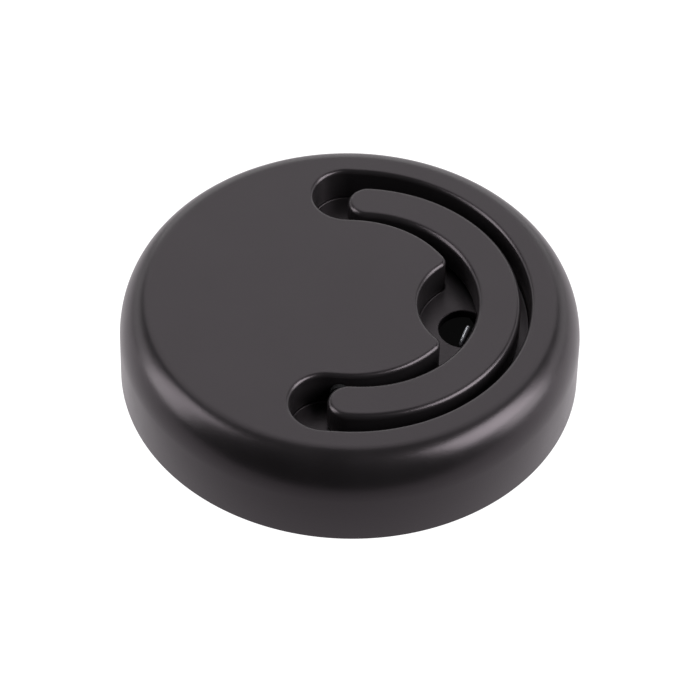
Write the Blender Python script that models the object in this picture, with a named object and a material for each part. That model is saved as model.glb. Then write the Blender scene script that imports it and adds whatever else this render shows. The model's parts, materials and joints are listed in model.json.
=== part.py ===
"""Desk grommet: a thick round cap with a C-shaped pull handle that folds flush into its top.

The cap lifts off a base ring that stays on the desk round a cable cut-out. +Z is up, the desk's
surface is z = 0, the base stands round the Z axis, and the middle of the C lies towards +X.
"""

from math import acos, atan2, cos, degrees, hypot, pi, radians, sin, sqrt

import bmesh
import bpy
from mathutils import Matrix, Vector

MM = 0.001

# Cover: a moulded shell, open underneath.
COVER_RADIUS = 50.0 * MM
COVER_HEIGHT = 21.7 * MM
SKIRT_LIFT = 0.3 * MM
SIDE_WALL = 3.0 * MM
SIDE_DRAFT = 0.2 * MM
TOP_SKIN = 2.0 * MM
RIM_ROUND_WIDTH = 7.05 * MM
RIM_ROUND_HEIGHT = 10.5 * MM

# C-shaped slot in the cover's top, and the finger notch in the island that it goes round.
RIM_LAND = 11.25 * MM
SLOT_WIDTH = 14.95 * MM
SLOT_STRAIGHT = 3.0 * MM
SLOT_WALL = 2.2 * MM
RECESS_DEPTH = 8.25 * MM
NOTCH_RADIUS = 14.75 * MM
NOTCH_DEPTH = 9.25 * MM
NOTCH_CORNER = 2.5 * MM

# Pull handle: a half ring that lies in the slot.
HANDLE_WIDTH = 9.25 * MM
HANDLE_SIDE_GAP = 4.05 * MM
HANDLE_FRONT_GAP = 2.15 * MM
HANDLE_DROP = 0.4 * MM
HANDLE_FOOT_GAP = 0.4 * MM
HANDLE_EDGE = 1.0 * MM
HANDLE_FOOT_EDGE = 1.2 * MM

# Hinge: a headed pin at each end of the handle, pushed outwards from inside the island.
PIN_RADIUS = 1.2 * MM
PIN_FIT = 0.06 * MM
PIN_INSET = 2.225 * MM
PIN_DEPTH = 4.2 * MM
PIN_BITE = 5.5 * MM
PIN_HEAD_RADIUS = 1.9 * MM
PIN_HEAD_THICKNESS = 1.2 * MM
PIN_CHAMFER = 0.3 * MM
PIN_BOSS_LENGTH = 1.6 * MM
PIN_BOSS_WIDTH = 6.4 * MM
SPACER_RADIUS = 2.0 * MM
SPACER_GAP = 0.25 * MM
KEEPER_THICKNESS = 1.2 * MM
KEEPER_WIDTH = 5.0 * MM

# Recess floor: a plate screwed under the slot's walls, with the cap's spigot ring under it.
FLOOR_THICKNESS = 2.2 * MM
FLOOR_EDGE_GAP = 0.6 * MM
HOLE_RADIUS = 5.45 * MM
HOLE_INSET = 2.65 * MM
SPIGOT_WALL = 2.5 * MM
KEY_WIDTH = 4.0 * MM
KEY_LENGTH = 2.3 * MM
KEY_GAP = 0.3 * MM

# Base ring, its rubber grip ring and the foam pad under it.
PAD_THICKNESS = 1.0 * MM
PAD_INSET = 0.6 * MM
FLANGE_THICKNESS = 2.5 * MM
FLANGE_WIDTH = 16.2 * MM
FLANGE_GAP = 0.8 * MM
COLLAR_WALL = 2.5 * MM
COLLAR_FIT = 0.5 * MM
COLLAR_HEADROOM = 1.05 * MM
GROOVE_DEPTH = 1.1 * MM
GROOVE_LAND_SHARE = 0.055
COLLAR_LIP = 0.4 * MM
GRIP_RADIUS = 0.72 * MM
GRIP_GAP = 0.06 * MM
DESK_HOLE_RADIUS = 2.1 * MM
DESK_HOLE_SINK = 1.9 * MM
PAD_HOLE_MARGIN = 1.0 * MM

# Screws: one size throughout.
SCREW_RADIUS = 1.2 * MM
SCREW_FIT = 0.1 * MM
SCREW_LENGTH = 7.0 * MM
SCREW_HEAD_RADIUS = 2.2 * MM
SCREW_HEAD_HEIGHT = 1.6 * MM
DRIVE_WIDTH = 0.6 * MM
DRIVE_LENGTH = 2.4 * MM
DRIVE_DEPTH = 0.8 * MM
SCREW_CHAMFER = 0.35 * MM
BOSS_RADIUS = 2.6 * MM
BOSS_OVERLAP = 0.1 * MM
SCREW_EDGE = 3.2 * MM
RIM_SCREW_ANGLES = (45, 135, 225, 315)
ISLAND_SCREW_ANGLE = 45
ISLAND_SCREW_INSET = 11.1 * MM

# Rubber pads under the handle.
REST_RADIUS = 1.8 * MM
REST_SIDE_GAP = 0.2 * MM
REST_POCKET_DEPTH = 1.0 * MM
REST_PROUD = 0.1 * MM
REST_ANGLES = (-75, -30, 30, 75)

# Lead clip: a bent wire held by one short screw, whose end stands in the floor's hole.
WIRE_RADIUS = 0.55 * MM
WIRE_BEND = 1.3 * MM
CLIP_EDGE_GAP = 0.45 * MM
CLIP_FOOT_ANGLE = -95
CLIP_KNEE_RISE = 0.1 * MM
CLIP_TIP_X = 1.0 * MM
CLIP_TIP_Y = -1.4 * MM
CLIP_TIP_RISE = 2.45 * MM
CLIP_EYE_GAP = 0.3 * MM
CLIP_SCREW_INSET = 4.7 * MM
CLIP_SCREW_ANGLE = -47
CLIP_SCREW_BITE = 1.9 * MM

SEAT_GAP = 0.3 * MM
OVERCUT = 1.0 * MM
RING_SEGMENTS = 64
SMALL_SEGMENTS = 20
SCREW_SEGMENTS = 12
HOLE_SEGMENTS = 40
RIM_STEPS = 6

# Heights, from the desk up.
FLANGE_FOOT = PAD_THICKNESS + SEAT_GAP
FLANGE_TOP = FLANGE_FOOT + FLANGE_THICKNESS
COVER_TOP = SKIRT_LIFT + COVER_HEIGHT
SKIN_FOOT = COVER_TOP - TOP_SKIN
FLOOR_TOP = COVER_TOP - RECESS_DEPTH
FLOOR_FOOT = FLOOR_TOP - FLOOR_THICKNESS
WALL_FOOT = FLOOR_TOP + SEAT_GAP
COLLAR_TOP = FLOOR_FOOT - COLLAR_HEADROOM
COLLAR_HEIGHT = COLLAR_TOP - FLANGE_TOP
SPIGOT_FOOT = FLANGE_TOP + SEAT_GAP
GROOVE_LAND = COLLAR_LIP + GROOVE_LAND_SHARE * COLLAR_HEIGHT
GROOVE_TOP = COLLAR_TOP - GROOVE_LAND
GROOVE_FOOT = GROOVE_TOP - 2 * (GRIP_RADIUS + GRIP_GAP)
KEY_TOP = GROOVE_FOOT - GROOVE_LAND
HANDLE_FOOT = FLOOR_TOP + HANDLE_FOOT_GAP
HANDLE_TOP = COVER_TOP - HANDLE_DROP

# Radii, from the cover's edge in.
SKIRT_INSIDE = COVER_RADIUS - SIDE_WALL
FLAT_RADIUS = COVER_RADIUS - RIM_ROUND_WIDTH
SLOT_OUTSIDE = COVER_RADIUS - RIM_LAND
SLOT_INSIDE = SLOT_OUTSIDE - SLOT_WIDTH
NOTCH_X = SLOT_INSIDE - NOTCH_DEPTH + NOTCH_RADIUS
FLOOR_RADIUS = SKIRT_INSIDE - FLOOR_EDGE_GAP
RIM_SCREW_CIRCLE = FLOOR_RADIUS - SCREW_EDGE
ISLAND_SCREW_CIRCLE = SLOT_INSIDE - ISLAND_SCREW_INSET
CLIP_SCREW_CIRCLE = SLOT_INSIDE - CLIP_SCREW_INSET
FLANGE_RADIUS = SKIRT_INSIDE - FLANGE_GAP
PASSAGE_RADIUS = FLANGE_RADIUS - FLANGE_WIDTH
COLLAR_RADIUS = PASSAGE_RADIUS + COLLAR_WALL
SPIGOT_INSIDE = COLLAR_RADIUS + COLLAR_FIT
SPIGOT_OUTSIDE = SPIGOT_INSIDE + SPIGOT_WALL
DESK_HOLE_CIRCLE = (SPIGOT_OUTSIDE + FLANGE_RADIUS) / 2

# The handle's half ring, and the hinge line through its ends.
HANDLE_OUTSIDE = SLOT_OUTSIDE - HANDLE_SIDE_GAP
HANDLE_INSIDE = HANDLE_OUTSIDE - HANDLE_WIDTH
HANDLE_MIDDLE = (HANDLE_OUTSIDE + HANDLE_INSIDE) / 2
HANDLE_X = SLOT_OUTSIDE - HANDLE_FRONT_GAP - HANDLE_OUTSIDE
PIN_X = HANDLE_X - HANDLE_WIDTH / 2 + PIN_INSET
PIN_Z = COVER_TOP - PIN_DEPTH
PIN_HEAD_Y = SLOT_INSIDE - SLOT_WALL - PIN_BOSS_LENGTH
HOLE_X = HANDLE_X + HANDLE_INSIDE - HOLE_INSET


def arc(centre, radius, start, end, steps):
    """Points round a centre from one angle to another, in degrees, both ends included."""
    angles = [radians(start + (end - start) * i / steps) for i in range(steps + 1)]
    return [(centre[0] + radius * cos(a), centre[1] + radius * sin(a)) for a in angles]


def mirrored(points):
    """The points, and then their reflections in the X axis, back to where they began."""
    return points + [(x, -y) for x, y in reversed(points)]


def without_repeats(points):
    kept = []
    for point in points:
        if not kept or hypot(point[0] - kept[-1][0], point[1] - kept[-1][1]) > 1e-6:
            kept.append(point)
    if hypot(kept[0][0] - kept[-1][0], kept[0][1] - kept[-1][1]) <= 1e-6:
        kept.pop()
    return kept


def slot_outline(grow=0.0):
    """The slot with its finger notch, in plan. A positive grow moves the whole outline outwards."""
    outside = SLOT_OUTSIDE + grow
    inside = SLOT_INSIDE - grow
    notch = NOTCH_RADIUS + grow
    corner = max(NOTCH_CORNER - grow, 0.1 * MM)
    end_y = (outside + inside) / 2
    end_radius = (outside - inside) / 2
    # The corner's arc touches the island's round from inside and the notch's from outside.
    reach = inside - corner
    corner_x = (reach**2 - (notch + corner) ** 2 + NOTCH_X**2) / (2 * NOTCH_X)
    corner_y = sqrt(reach**2 - corner_x**2)
    on_island = degrees(atan2(corner_y, corner_x))
    on_notch = degrees(atan2(-corner_y, NOTCH_X - corner_x))
    half = arc((0, 0), outside, 0, 90, 18)
    half += arc((-SLOT_STRAIGHT, end_y), end_radius, 90, 270, 10)
    half += arc((0, 0), inside, 90, on_island, 8)
    half += arc((corner_x, corner_y), corner, on_island, on_notch, 5)
    half += arc((NOTCH_X, 0), notch, 180 + on_notch, 180, 6)
    return without_repeats(mirrored(half))


def handle_outline():
    """The pull handle in plan: a half ring with round ends."""
    end_radius = HANDLE_WIDTH / 2
    half = arc((HANDLE_X, 0), HANDLE_OUTSIDE, 0, 90, 16)
    half += arc((HANDLE_X, HANDLE_MIDDLE), end_radius, 90, 270, 10)
    half += arc((HANDLE_X, 0), HANDLE_INSIDE, 90, 0, 14)
    return without_repeats(mirrored(half))


def extruded(outline, low, high):
    """An outline in plan, as a closed solid between two heights."""
    bm = bmesh.new()
    face = bm.faces.new([bm.verts.new((x, y, low)) for x, y in outline])
    grown = bmesh.ops.extrude_face_region(bm, geom=[face])
    top = [item for item in grown["geom"] if isinstance(item, bmesh.types.BMVert)]
    bmesh.ops.translate(bm, verts=top, vec=(0, 0, high - low))
    bmesh.ops.recalc_face_normals(bm, faces=bm.faces)
    return bm


def turned(profile, steps, closed):
    """A profile of (radius, height) points spun round Z. An open profile starts and ends on the axis."""
    bm = bmesh.new()
    verts = [bm.verts.new((r, 0, z)) for r, z in profile]
    ends = zip(verts, verts[1:] + verts[:1] if closed else verts[1:])
    edges = [bm.edges.new(pair) for pair in ends]
    bmesh.ops.spin(
        bm, geom=verts + edges, axis=(0, 0, 1), angle=2 * pi, steps=steps, use_merge=True
    )
    bmesh.ops.remove_doubles(bm, verts=bm.verts, dist=1e-7)
    bmesh.ops.recalc_face_normals(bm, faces=bm.faces)
    return bm


def cylinder(centre, radius, low, high, steps=SMALL_SEGMENTS):
    bm = turned([(0, low), (radius, low), (radius, high), (0, high)], steps, closed=False)
    bmesh.ops.translate(bm, verts=bm.verts, vec=(centre[0], centre[1], 0))
    return bm


def block(low, high):
    bm = bmesh.new()
    bmesh.ops.create_cube(bm, size=1)
    size = [b - a for a, b in zip(low, high)]
    bmesh.ops.scale(bm, verts=bm.verts, vec=size)
    bmesh.ops.translate(bm, verts=bm.verts, vec=[(a + b) / 2 for a, b in zip(low, high)])
    return bm


def along_hinge(bm, side):
    """Turns a shape made round Z to lie on the hinge line, pointing out of the island on one side."""
    place = Matrix.Translation((PIN_X, 0, PIN_Z)) @ Matrix.Rotation(radians(-90 * side), 4, "X")
    bmesh.ops.transform(bm, matrix=place, verts=bm.verts)
    return bm


def polar(radius, angle):
    return radius * cos(radians(angle)), radius * sin(radians(angle))


def finish_mesh(name, bm):
    mesh = bpy.data.meshes.new(name)
    bm.to_mesh(mesh)
    bm.free()
    return mesh


def add_piece(name, bm, finish, parent=None):
    """A named sub-part with its material, smooth where it is round."""
    mesh = finish_mesh(name, bm)
    mesh.materials.append(finish)
    mesh.shade_smooth()
    mesh.set_sharp_from_angle(angle=radians(35))
    piece = bpy.data.objects.new(name, mesh)
    bpy.context.scene.collection.objects.link(piece)
    if parent:
        piece.parent = parent
        piece.matrix_parent_inverse = Matrix.Translation(-parent.location)
    return piece


def add_axis(name, place):
    """An empty on a joint's axis, for the pieces that move on it."""
    empty = bpy.data.objects.new(name, None)
    empty.location = place
    bpy.context.scene.collection.objects.link(empty)
    return empty


def combine(piece, label, operation, shapes):
    """Joins shapes to a piece or cuts them from it. They stay as hidden helpers."""
    helpers = bpy.data.collections.new(f"{piece.name}_{label}")
    bpy.context.scene.collection.children.link(helpers)
    for number, bm in enumerate(shapes, 1):
        helper = bpy.data.objects.new(
            f"{helpers.name}_{number}", finish_mesh(f"{helpers.name}_{number}", bm)
        )
        helper.hide_render = True
        helper.display_type = "WIRE"
        helpers.objects.link(helper)
    boolean = piece.modifiers.new(label, "BOOLEAN")
    boolean.operation = operation
    boolean.operand_type = "COLLECTION"
    boolean.collection = helpers
    boolean.solver = "EXACT"


def make_material(name, colour, roughness, metallic=0.0):
    finish = bpy.data.materials.new(name)
    finish.use_nodes = True
    shader = finish.node_tree.nodes["Principled BSDF"]
    shader.inputs["Base Color"].default_value = (*colour, 1)
    shader.inputs["Roughness"].default_value = roughness
    shader.inputs["Metallic"].default_value = metallic
    return finish


def rim_screws():
    return [polar(RIM_SCREW_CIRCLE, angle) for angle in RIM_SCREW_ANGLES]


def island_screws():
    return [polar(ISLAND_SCREW_CIRCLE, side * ISLAND_SCREW_ANGLE) for side in (-1, 1)]


def key_angles():
    return 90, 270


def key_block(angle, inner, outer, width, low, high):
    """A block that stands across a radius of the Z axis at an angle."""
    bm = block((inner, -width / 2, low), (outer, width / 2, high))
    bmesh.ops.rotate(bm, verts=bm.verts, matrix=Matrix.Rotation(radians(angle), 3, "Z"))
    return bm


def cover_profile():
    """The shell's section: up the outside, over the rounded rim, and back along the inside."""
    shoulder = COVER_TOP - RIM_ROUND_HEIGHT
    angles = [pi / 2 * i / RIM_STEPS for i in range(RIM_STEPS + 1)]
    outside = [(COVER_RADIUS, SKIRT_LIFT)]
    for a in angles:
        radius = FLAT_RADIUS + (RIM_ROUND_WIDTH - SIDE_DRAFT) * cos(a)
        outside.append((radius, shoulder + RIM_ROUND_HEIGHT * sin(a)))
    inside = [(SKIRT_INSIDE, SKIRT_LIFT)]
    for a in angles:
        radius = FLAT_RADIUS + (RIM_ROUND_WIDTH - SIDE_WALL) * cos(a)
        inside.append((radius, shoulder + (RIM_ROUND_HEIGHT - TOP_SKIN) * sin(a)))
    return [(0, COVER_TOP)] + outside[::-1] + inside + [(0, SKIN_FOOT)]


def make_top_cap(finish, parent):
    """The moulded cover: shell, slot walls, screw bosses and the two pin bosses."""
    cap = add_piece(
        "top_cap", turned(cover_profile(), RING_SEGMENTS, closed=False), finish, parent
    )
    in_skin = SKIN_FOOT + TOP_SKIN / 2
    added = [extruded(slot_outline(SLOT_WALL), WALL_FOOT, in_skin)]
    for place in rim_screws() + island_screws():
        added.append(cylinder(place, BOSS_RADIUS, WALL_FOOT, SKIN_FOOT + BOSS_OVERLAP))
    for side in (-1, 1):
        across = sorted((side * PIN_HEAD_Y, side * (SLOT_INSIDE - SLOT_WALL / 2)))
        low = (PIN_X - PIN_BOSS_WIDTH / 2, across[0], PIN_Z - PIN_BOSS_WIDTH / 2)
        high = (PIN_X + PIN_BOSS_WIDTH / 2, across[1], in_skin)
        added.append(block(low, high))
    combine(cap, "added", "UNION", added)
    cuts = [extruded(slot_outline(), WALL_FOOT - OVERCUT, COVER_TOP + OVERCUT)]
    pilot = SCREW_RADIUS + SCREW_FIT
    pilot_top = FLOOR_FOOT + SCREW_LENGTH - SEAT_GAP + SCREW_FIT
    for place in rim_screws() + island_screws():
        cuts.append(cylinder(place, pilot, WALL_FOOT - OVERCUT, pilot_top))
    for side in (-1, 1):
        bore = cylinder((0, 0), PIN_RADIUS + PIN_FIT, PIN_HEAD_Y - OVERCUT, SLOT_INSIDE + OVERCUT)
        cuts.append(along_hinge(bore, side))
    combine(cap, "cuts", "DIFFERENCE", cuts)


def make_handle(finish, parent):
    """The C-shaped pull handle, soft on its top edge, with a blind bore in each heel."""
    bm = extruded(handle_outline(), HANDLE_FOOT, HANDLE_TOP)
    for height, width, segments in ((HANDLE_TOP, HANDLE_EDGE, 3), (HANDLE_FOOT, HANDLE_FOOT_EDGE, 1)):
        rim = [e for e in bm.edges if all(abs(v.co.z - height) < 1e-6 for v in e.verts)]
        bmesh.ops.bevel(
            bm, geom=rim, offset=width, segments=segments, profile=0.5, affect="EDGES", material=-1
        )
    handle = add_piece("pull_handle", bm, finish, parent)
    bores = []
    for side in (-1, 1):
        bore = cylinder((0, 0), PIN_RADIUS + PIN_FIT, SLOT_INSIDE, pin_tip() + SEAT_GAP)
        bores.append(along_hinge(bore, side))
    combine(handle, "bores", "DIFFERENCE", bores)


def pin_tip():
    """How far out the hinge pins reach: PIN_BITE past the heel's inner side on the hinge line."""
    back = HANDLE_X - PIN_X
    heel_side = HANDLE_MIDDLE - sqrt((HANDLE_WIDTH / 2) ** 2 - back**2)
    return heel_side + PIN_BITE


def make_hinge_pin(name, side, finish, parent):
    """A steel pin with a low round head that bears on the boss inside the island."""
    shoulder = PIN_HEAD_Y - SEAT_GAP
    profile = [
        (0, shoulder - PIN_HEAD_THICKNESS),
        (PIN_HEAD_RADIUS - PIN_CHAMFER, shoulder - PIN_HEAD_THICKNESS),
        (PIN_HEAD_RADIUS, shoulder - PIN_HEAD_THICKNESS + PIN_CHAMFER),
        (PIN_HEAD_RADIUS, shoulder),
        (PIN_RADIUS, shoulder),
        (PIN_RADIUS, pin_tip() - PIN_CHAMFER),
        (PIN_RADIUS - PIN_CHAMFER, pin_tip()),
        (0, pin_tip()),
    ]
    pin = along_hinge(turned(profile, SMALL_SEGMENTS, closed=False), side)
    add_piece(name, pin, finish, parent)


def make_spacer(name, side, finish, parent):
    """A thin nylon washer on the pin, between the island and the handle's heel."""
    bore = PIN_RADIUS + PIN_FIT
    inner = SLOT_INSIDE + SEAT_GAP
    outer = HANDLE_INSIDE - SPACER_GAP
    profile = [(bore, inner), (SPACER_RADIUS, inner), (SPACER_RADIUS, outer), (bore, outer)]
    ring = along_hinge(turned(profile, SMALL_SEGMENTS, closed=True), side)
    add_piece(name, ring, finish, parent)


def rest_places():
    ring = [polar(HANDLE_MIDDLE, angle) for angle in REST_ANGLES]
    return [(HANDLE_X + x, y) for x, y in ring]


def make_recess_floor(finish, parent):
    """The plate under the slot, with its hole, the spigot ring below and a keeper behind each pin."""
    plate = cylinder((0, 0), FLOOR_RADIUS, FLOOR_FOOT, FLOOR_TOP, RING_SEGMENTS)
    floor = add_piece("recess_floor", plate, finish, parent)
    in_plate = FLOOR_FOOT + FLOOR_THICKNESS / 2
    section = [
        (SPIGOT_INSIDE, SPIGOT_FOOT),
        (SPIGOT_OUTSIDE, SPIGOT_FOOT),
        (SPIGOT_OUTSIDE, in_plate),
        (SPIGOT_INSIDE, in_plate),
    ]
    added = [turned(section, RING_SEGMENTS, closed=True)]
    behind = PIN_HEAD_Y - SEAT_GAP - PIN_HEAD_THICKNESS - SEAT_GAP
    for side in (-1, 1):
        across = sorted((side * behind, side * (behind - KEEPER_THICKNESS)))
        low = (PIN_X - KEEPER_WIDTH / 2, across[0], in_plate)
        high = (PIN_X + KEEPER_WIDTH / 2, across[1], SKIN_FOOT - SEAT_GAP)
        added.append(block(low, high))
    combine(floor, "added", "UNION", added)
    cuts = [cylinder((HOLE_X, 0), HOLE_RADIUS, FLOOR_FOOT - OVERCUT, FLOOR_TOP + OVERCUT, HOLE_SEGMENTS)]
    for place in rim_screws() + island_screws():
        cuts.append(
            cylinder(place, SCREW_RADIUS + SCREW_FIT, FLOOR_FOOT - OVERCUT, FLOOR_TOP + OVERCUT)
        )
    for place in rest_places():
        cuts.append(
            cylinder(
                place, REST_RADIUS + REST_SIDE_GAP, FLOOR_TOP - REST_POCKET_DEPTH, FLOOR_TOP + OVERCUT
            )
        )
    for angle in key_angles():
        cuts.append(
            key_block(
                angle,
                SPIGOT_INSIDE - COLLAR_FIT,
                SPIGOT_OUTSIDE + OVERCUT,
                KEY_WIDTH + 2 * KEY_GAP,
                SPIGOT_FOOT - OVERCUT,
                KEY_TOP + KEY_GAP,
            )
        )
    cuts.append(
        cylinder(
            clip_screw_place(), SCREW_RADIUS + SCREW_FIT, FLOOR_FOOT - OVERCUT, FLOOR_TOP + OVERCUT
        )
    )
    combine(floor, "cuts", "DIFFERENCE", cuts)


def screw_mesh(length):
    """A pan-head screw standing under z = 0 by its head, with a cross recess."""
    profile = [
        (0, -SCREW_HEAD_HEIGHT),
        (SCREW_HEAD_RADIUS - 2 * SCREW_CHAMFER, -SCREW_HEAD_HEIGHT),
        (SCREW_HEAD_RADIUS, -SCREW_HEAD_HEIGHT + 2 * SCREW_CHAMFER),
        (SCREW_HEAD_RADIUS, 0),
        (SCREW_RADIUS, 0),
        (SCREW_RADIUS, length - SCREW_CHAMFER),
        (SCREW_RADIUS - SCREW_CHAMFER, length),
        (0, length),
    ]
    return turned(profile, SCREW_SEGMENTS, closed=False)


def make_screw(name, place, seat, length, finish, parent):
    """One screw, its head's upper face just under the seat height."""
    head_top = seat - SEAT_GAP
    bm = screw_mesh(length)
    bmesh.ops.translate(bm, verts=bm.verts, vec=(*place, head_top))
    screw = add_piece(name, bm, finish, parent)
    bottom = head_top - SCREW_HEAD_HEIGHT
    arms = []
    for long_x, long_y in ((DRIVE_LENGTH, DRIVE_WIDTH), (DRIVE_WIDTH, DRIVE_LENGTH)):
        low = (place[0] - long_x / 2, place[1] - long_y / 2, bottom - OVERCUT)
        high = (place[0] + long_x / 2, place[1] + long_y / 2, bottom + DRIVE_DEPTH)
        arms.append(block(low, high))
    combine(screw, "drive", "DIFFERENCE", arms)


def clip_screw_place():
    return polar(CLIP_SCREW_CIRCLE, CLIP_SCREW_ANGLE)


def clip_path():
    """The wire's centre line: an eye round its screw, a leg to the hole's edge, up through the hole, and
    a short end that leans in over it.
    """
    eye_radius = SCREW_RADIUS + CLIP_EYE_GAP + WIRE_RADIUS
    level = FLOOR_FOOT - SEAT_GAP - WIRE_RADIUS
    eye_x, eye_y = clip_screw_place()
    foot_x, foot_y = polar(HOLE_RADIUS - WIRE_RADIUS - CLIP_EDGE_GAP, CLIP_FOOT_ANGLE)
    foot_x += HOLE_X
    # The leg leaves the eye along the tangent that meets the foot.
    gap_x, gap_y = foot_x - eye_x, foot_y - eye_y
    leg = degrees(atan2(gap_y, gap_x) - acos(eye_radius / hypot(gap_x, gap_y)))
    eye = arc((eye_x, eye_y), eye_radius, leg - 290, leg, 18)
    points = [Vector((x, y, level)) for x, y in eye]
    corners = [
        points[-1],
        Vector((foot_x, foot_y, level)),
        Vector((foot_x, foot_y, FLOOR_TOP + CLIP_KNEE_RISE)),
        Vector((HOLE_X + CLIP_TIP_X, CLIP_TIP_Y, FLOOR_TOP + CLIP_TIP_RISE)),
    ]
    return points[:-1] + bent(corners, WIRE_BEND)


def bent(corners, radius, steps=6):
    """A path of straight runs with each inner corner bent to a radius."""
    path = [corners[0]]
    for before, corner, after in zip(corners, corners[1:], corners[2:]):
        into = (corner - before).normalized()
        out = (after - corner).normalized()
        turn = into.angle(out)
        back = radius * sin(turn / 2) / cos(turn / 2)
        start = corner - into * back
        normal = (out - into * into.dot(out)).normalized()
        centre = start + normal * radius
        for i in range(steps + 1):
            a = turn * i / steps
            path.append(centre + into * radius * sin(a) - normal * radius * cos(a))
    path.append(corners[-1])
    return path


def make_lead_clip(finish, parent):
    """The bent wire whose end nips a thin lead in the hole."""
    curve = bpy.data.curves.new("lead_clip", "CURVE")
    curve.dimensions = "3D"
    curve.bevel_depth = WIRE_RADIUS
    curve.bevel_resolution = 2
    curve.use_fill_caps = True
    spline = curve.splines.new("POLY")
    path = clip_path()
    spline.points.add(len(path) - 1)
    for point, place in zip(spline.points, path):
        point.co = (*place, 1)
    curve.materials.append(finish)
    clip = bpy.data.objects.new("lead_clip", curve)
    bpy.context.scene.collection.objects.link(clip)
    clip.parent = parent
    clip.matrix_parent_inverse = Matrix.Translation(-parent.location)


def make_rest_pads(finish, parent):
    foot = FLOOR_TOP - REST_POCKET_DEPTH + SEAT_GAP
    for number, place in enumerate(rest_places(), 1):
        pad = cylinder(place, REST_RADIUS, foot, FLOOR_TOP + REST_PROUD)
        add_piece(f"rest_pad_{number}", pad, finish, parent)




def make_base_ring(finish):
    """The flange and collar that stay on the desk."""
    section = [
        (PASSAGE_RADIUS, FLANGE_FOOT),
        (FLANGE_RADIUS, FLANGE_FOOT),
        (FLANGE_RADIUS, FLANGE_TOP),
        (COLLAR_RADIUS, FLANGE_TOP),
        (COLLAR_RADIUS, GROOVE_FOOT),
        (COLLAR_RADIUS - GROOVE_DEPTH, GROOVE_FOOT),
        (COLLAR_RADIUS - GROOVE_DEPTH, GROOVE_TOP),
        (COLLAR_RADIUS, GROOVE_TOP),
        (COLLAR_RADIUS, COLLAR_TOP - COLLAR_LIP),
        (COLLAR_RADIUS - COLLAR_LIP, COLLAR_TOP),
        (PASSAGE_RADIUS, COLLAR_TOP),
    ]
    base = add_piece("base_ring", turned(section, RING_SEGMENTS, closed=True), finish)
    in_flange = FLANGE_TOP - FLANGE_THICKNESS / 2
    keys = []
    for angle in key_angles():
        inner = COLLAR_RADIUS - COLLAR_WALL / 2
        outer = COLLAR_RADIUS + KEY_LENGTH
        keys.append(key_block(angle, inner, outer, KEY_WIDTH, in_flange, KEY_TOP))
    combine(base, "keys", "UNION", keys)
    holes = []
    for place in desk_holes():
        wide = DESK_HOLE_RADIUS + DESK_HOLE_SINK
        profile = [
            (0, FLANGE_FOOT - OVERCUT),
            (DESK_HOLE_RADIUS, FLANGE_FOOT - OVERCUT),
            (DESK_HOLE_RADIUS, FLANGE_TOP - DESK_HOLE_SINK),
            (wide, FLANGE_TOP),
            (wide, FLANGE_TOP + OVERCUT),
            (0, FLANGE_TOP + OVERCUT),
        ]
        hole = turned(profile, SMALL_SEGMENTS, closed=False)
        bmesh.ops.translate(hole, verts=hole.verts, vec=(*place, 0))
        holes.append(hole)
    combine(base, "desk_holes", "DIFFERENCE", holes)


def desk_holes():
    return [polar(DESK_HOLE_CIRCLE, angle) for angle in (0, 90, 180, 270)]


def make_grip_ring(finish):
    """A round rubber ring in the collar's groove, just short of the spigot."""
    middle = SPIGOT_INSIDE - GRIP_GAP - GRIP_RADIUS
    section = arc((middle, (GROOVE_FOOT + GROOVE_TOP) / 2), GRIP_RADIUS, 0, 315, 7)
    add_piece("grip_ring", turned(section, RING_SEGMENTS, closed=True), finish)


def make_desk_pad(finish):
    """The foam ring under the flange, with a hole for each desk screw."""
    inner = PASSAGE_RADIUS + COLLAR_WALL
    outer = FLANGE_RADIUS - PAD_INSET
    section = [(inner, 0), (outer, 0), (outer, PAD_THICKNESS), (inner, PAD_THICKNESS)]
    pad = add_piece("desk_pad", turned(section, RING_SEGMENTS, closed=True), finish)
    radius = DESK_HOLE_RADIUS + PAD_HOLE_MARGIN
    holes = [cylinder(place, radius, -OVERCUT, PAD_THICKNESS + OVERCUT) for place in desk_holes()]
    combine(pad, "desk_holes", "DIFFERENCE", holes)


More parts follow.
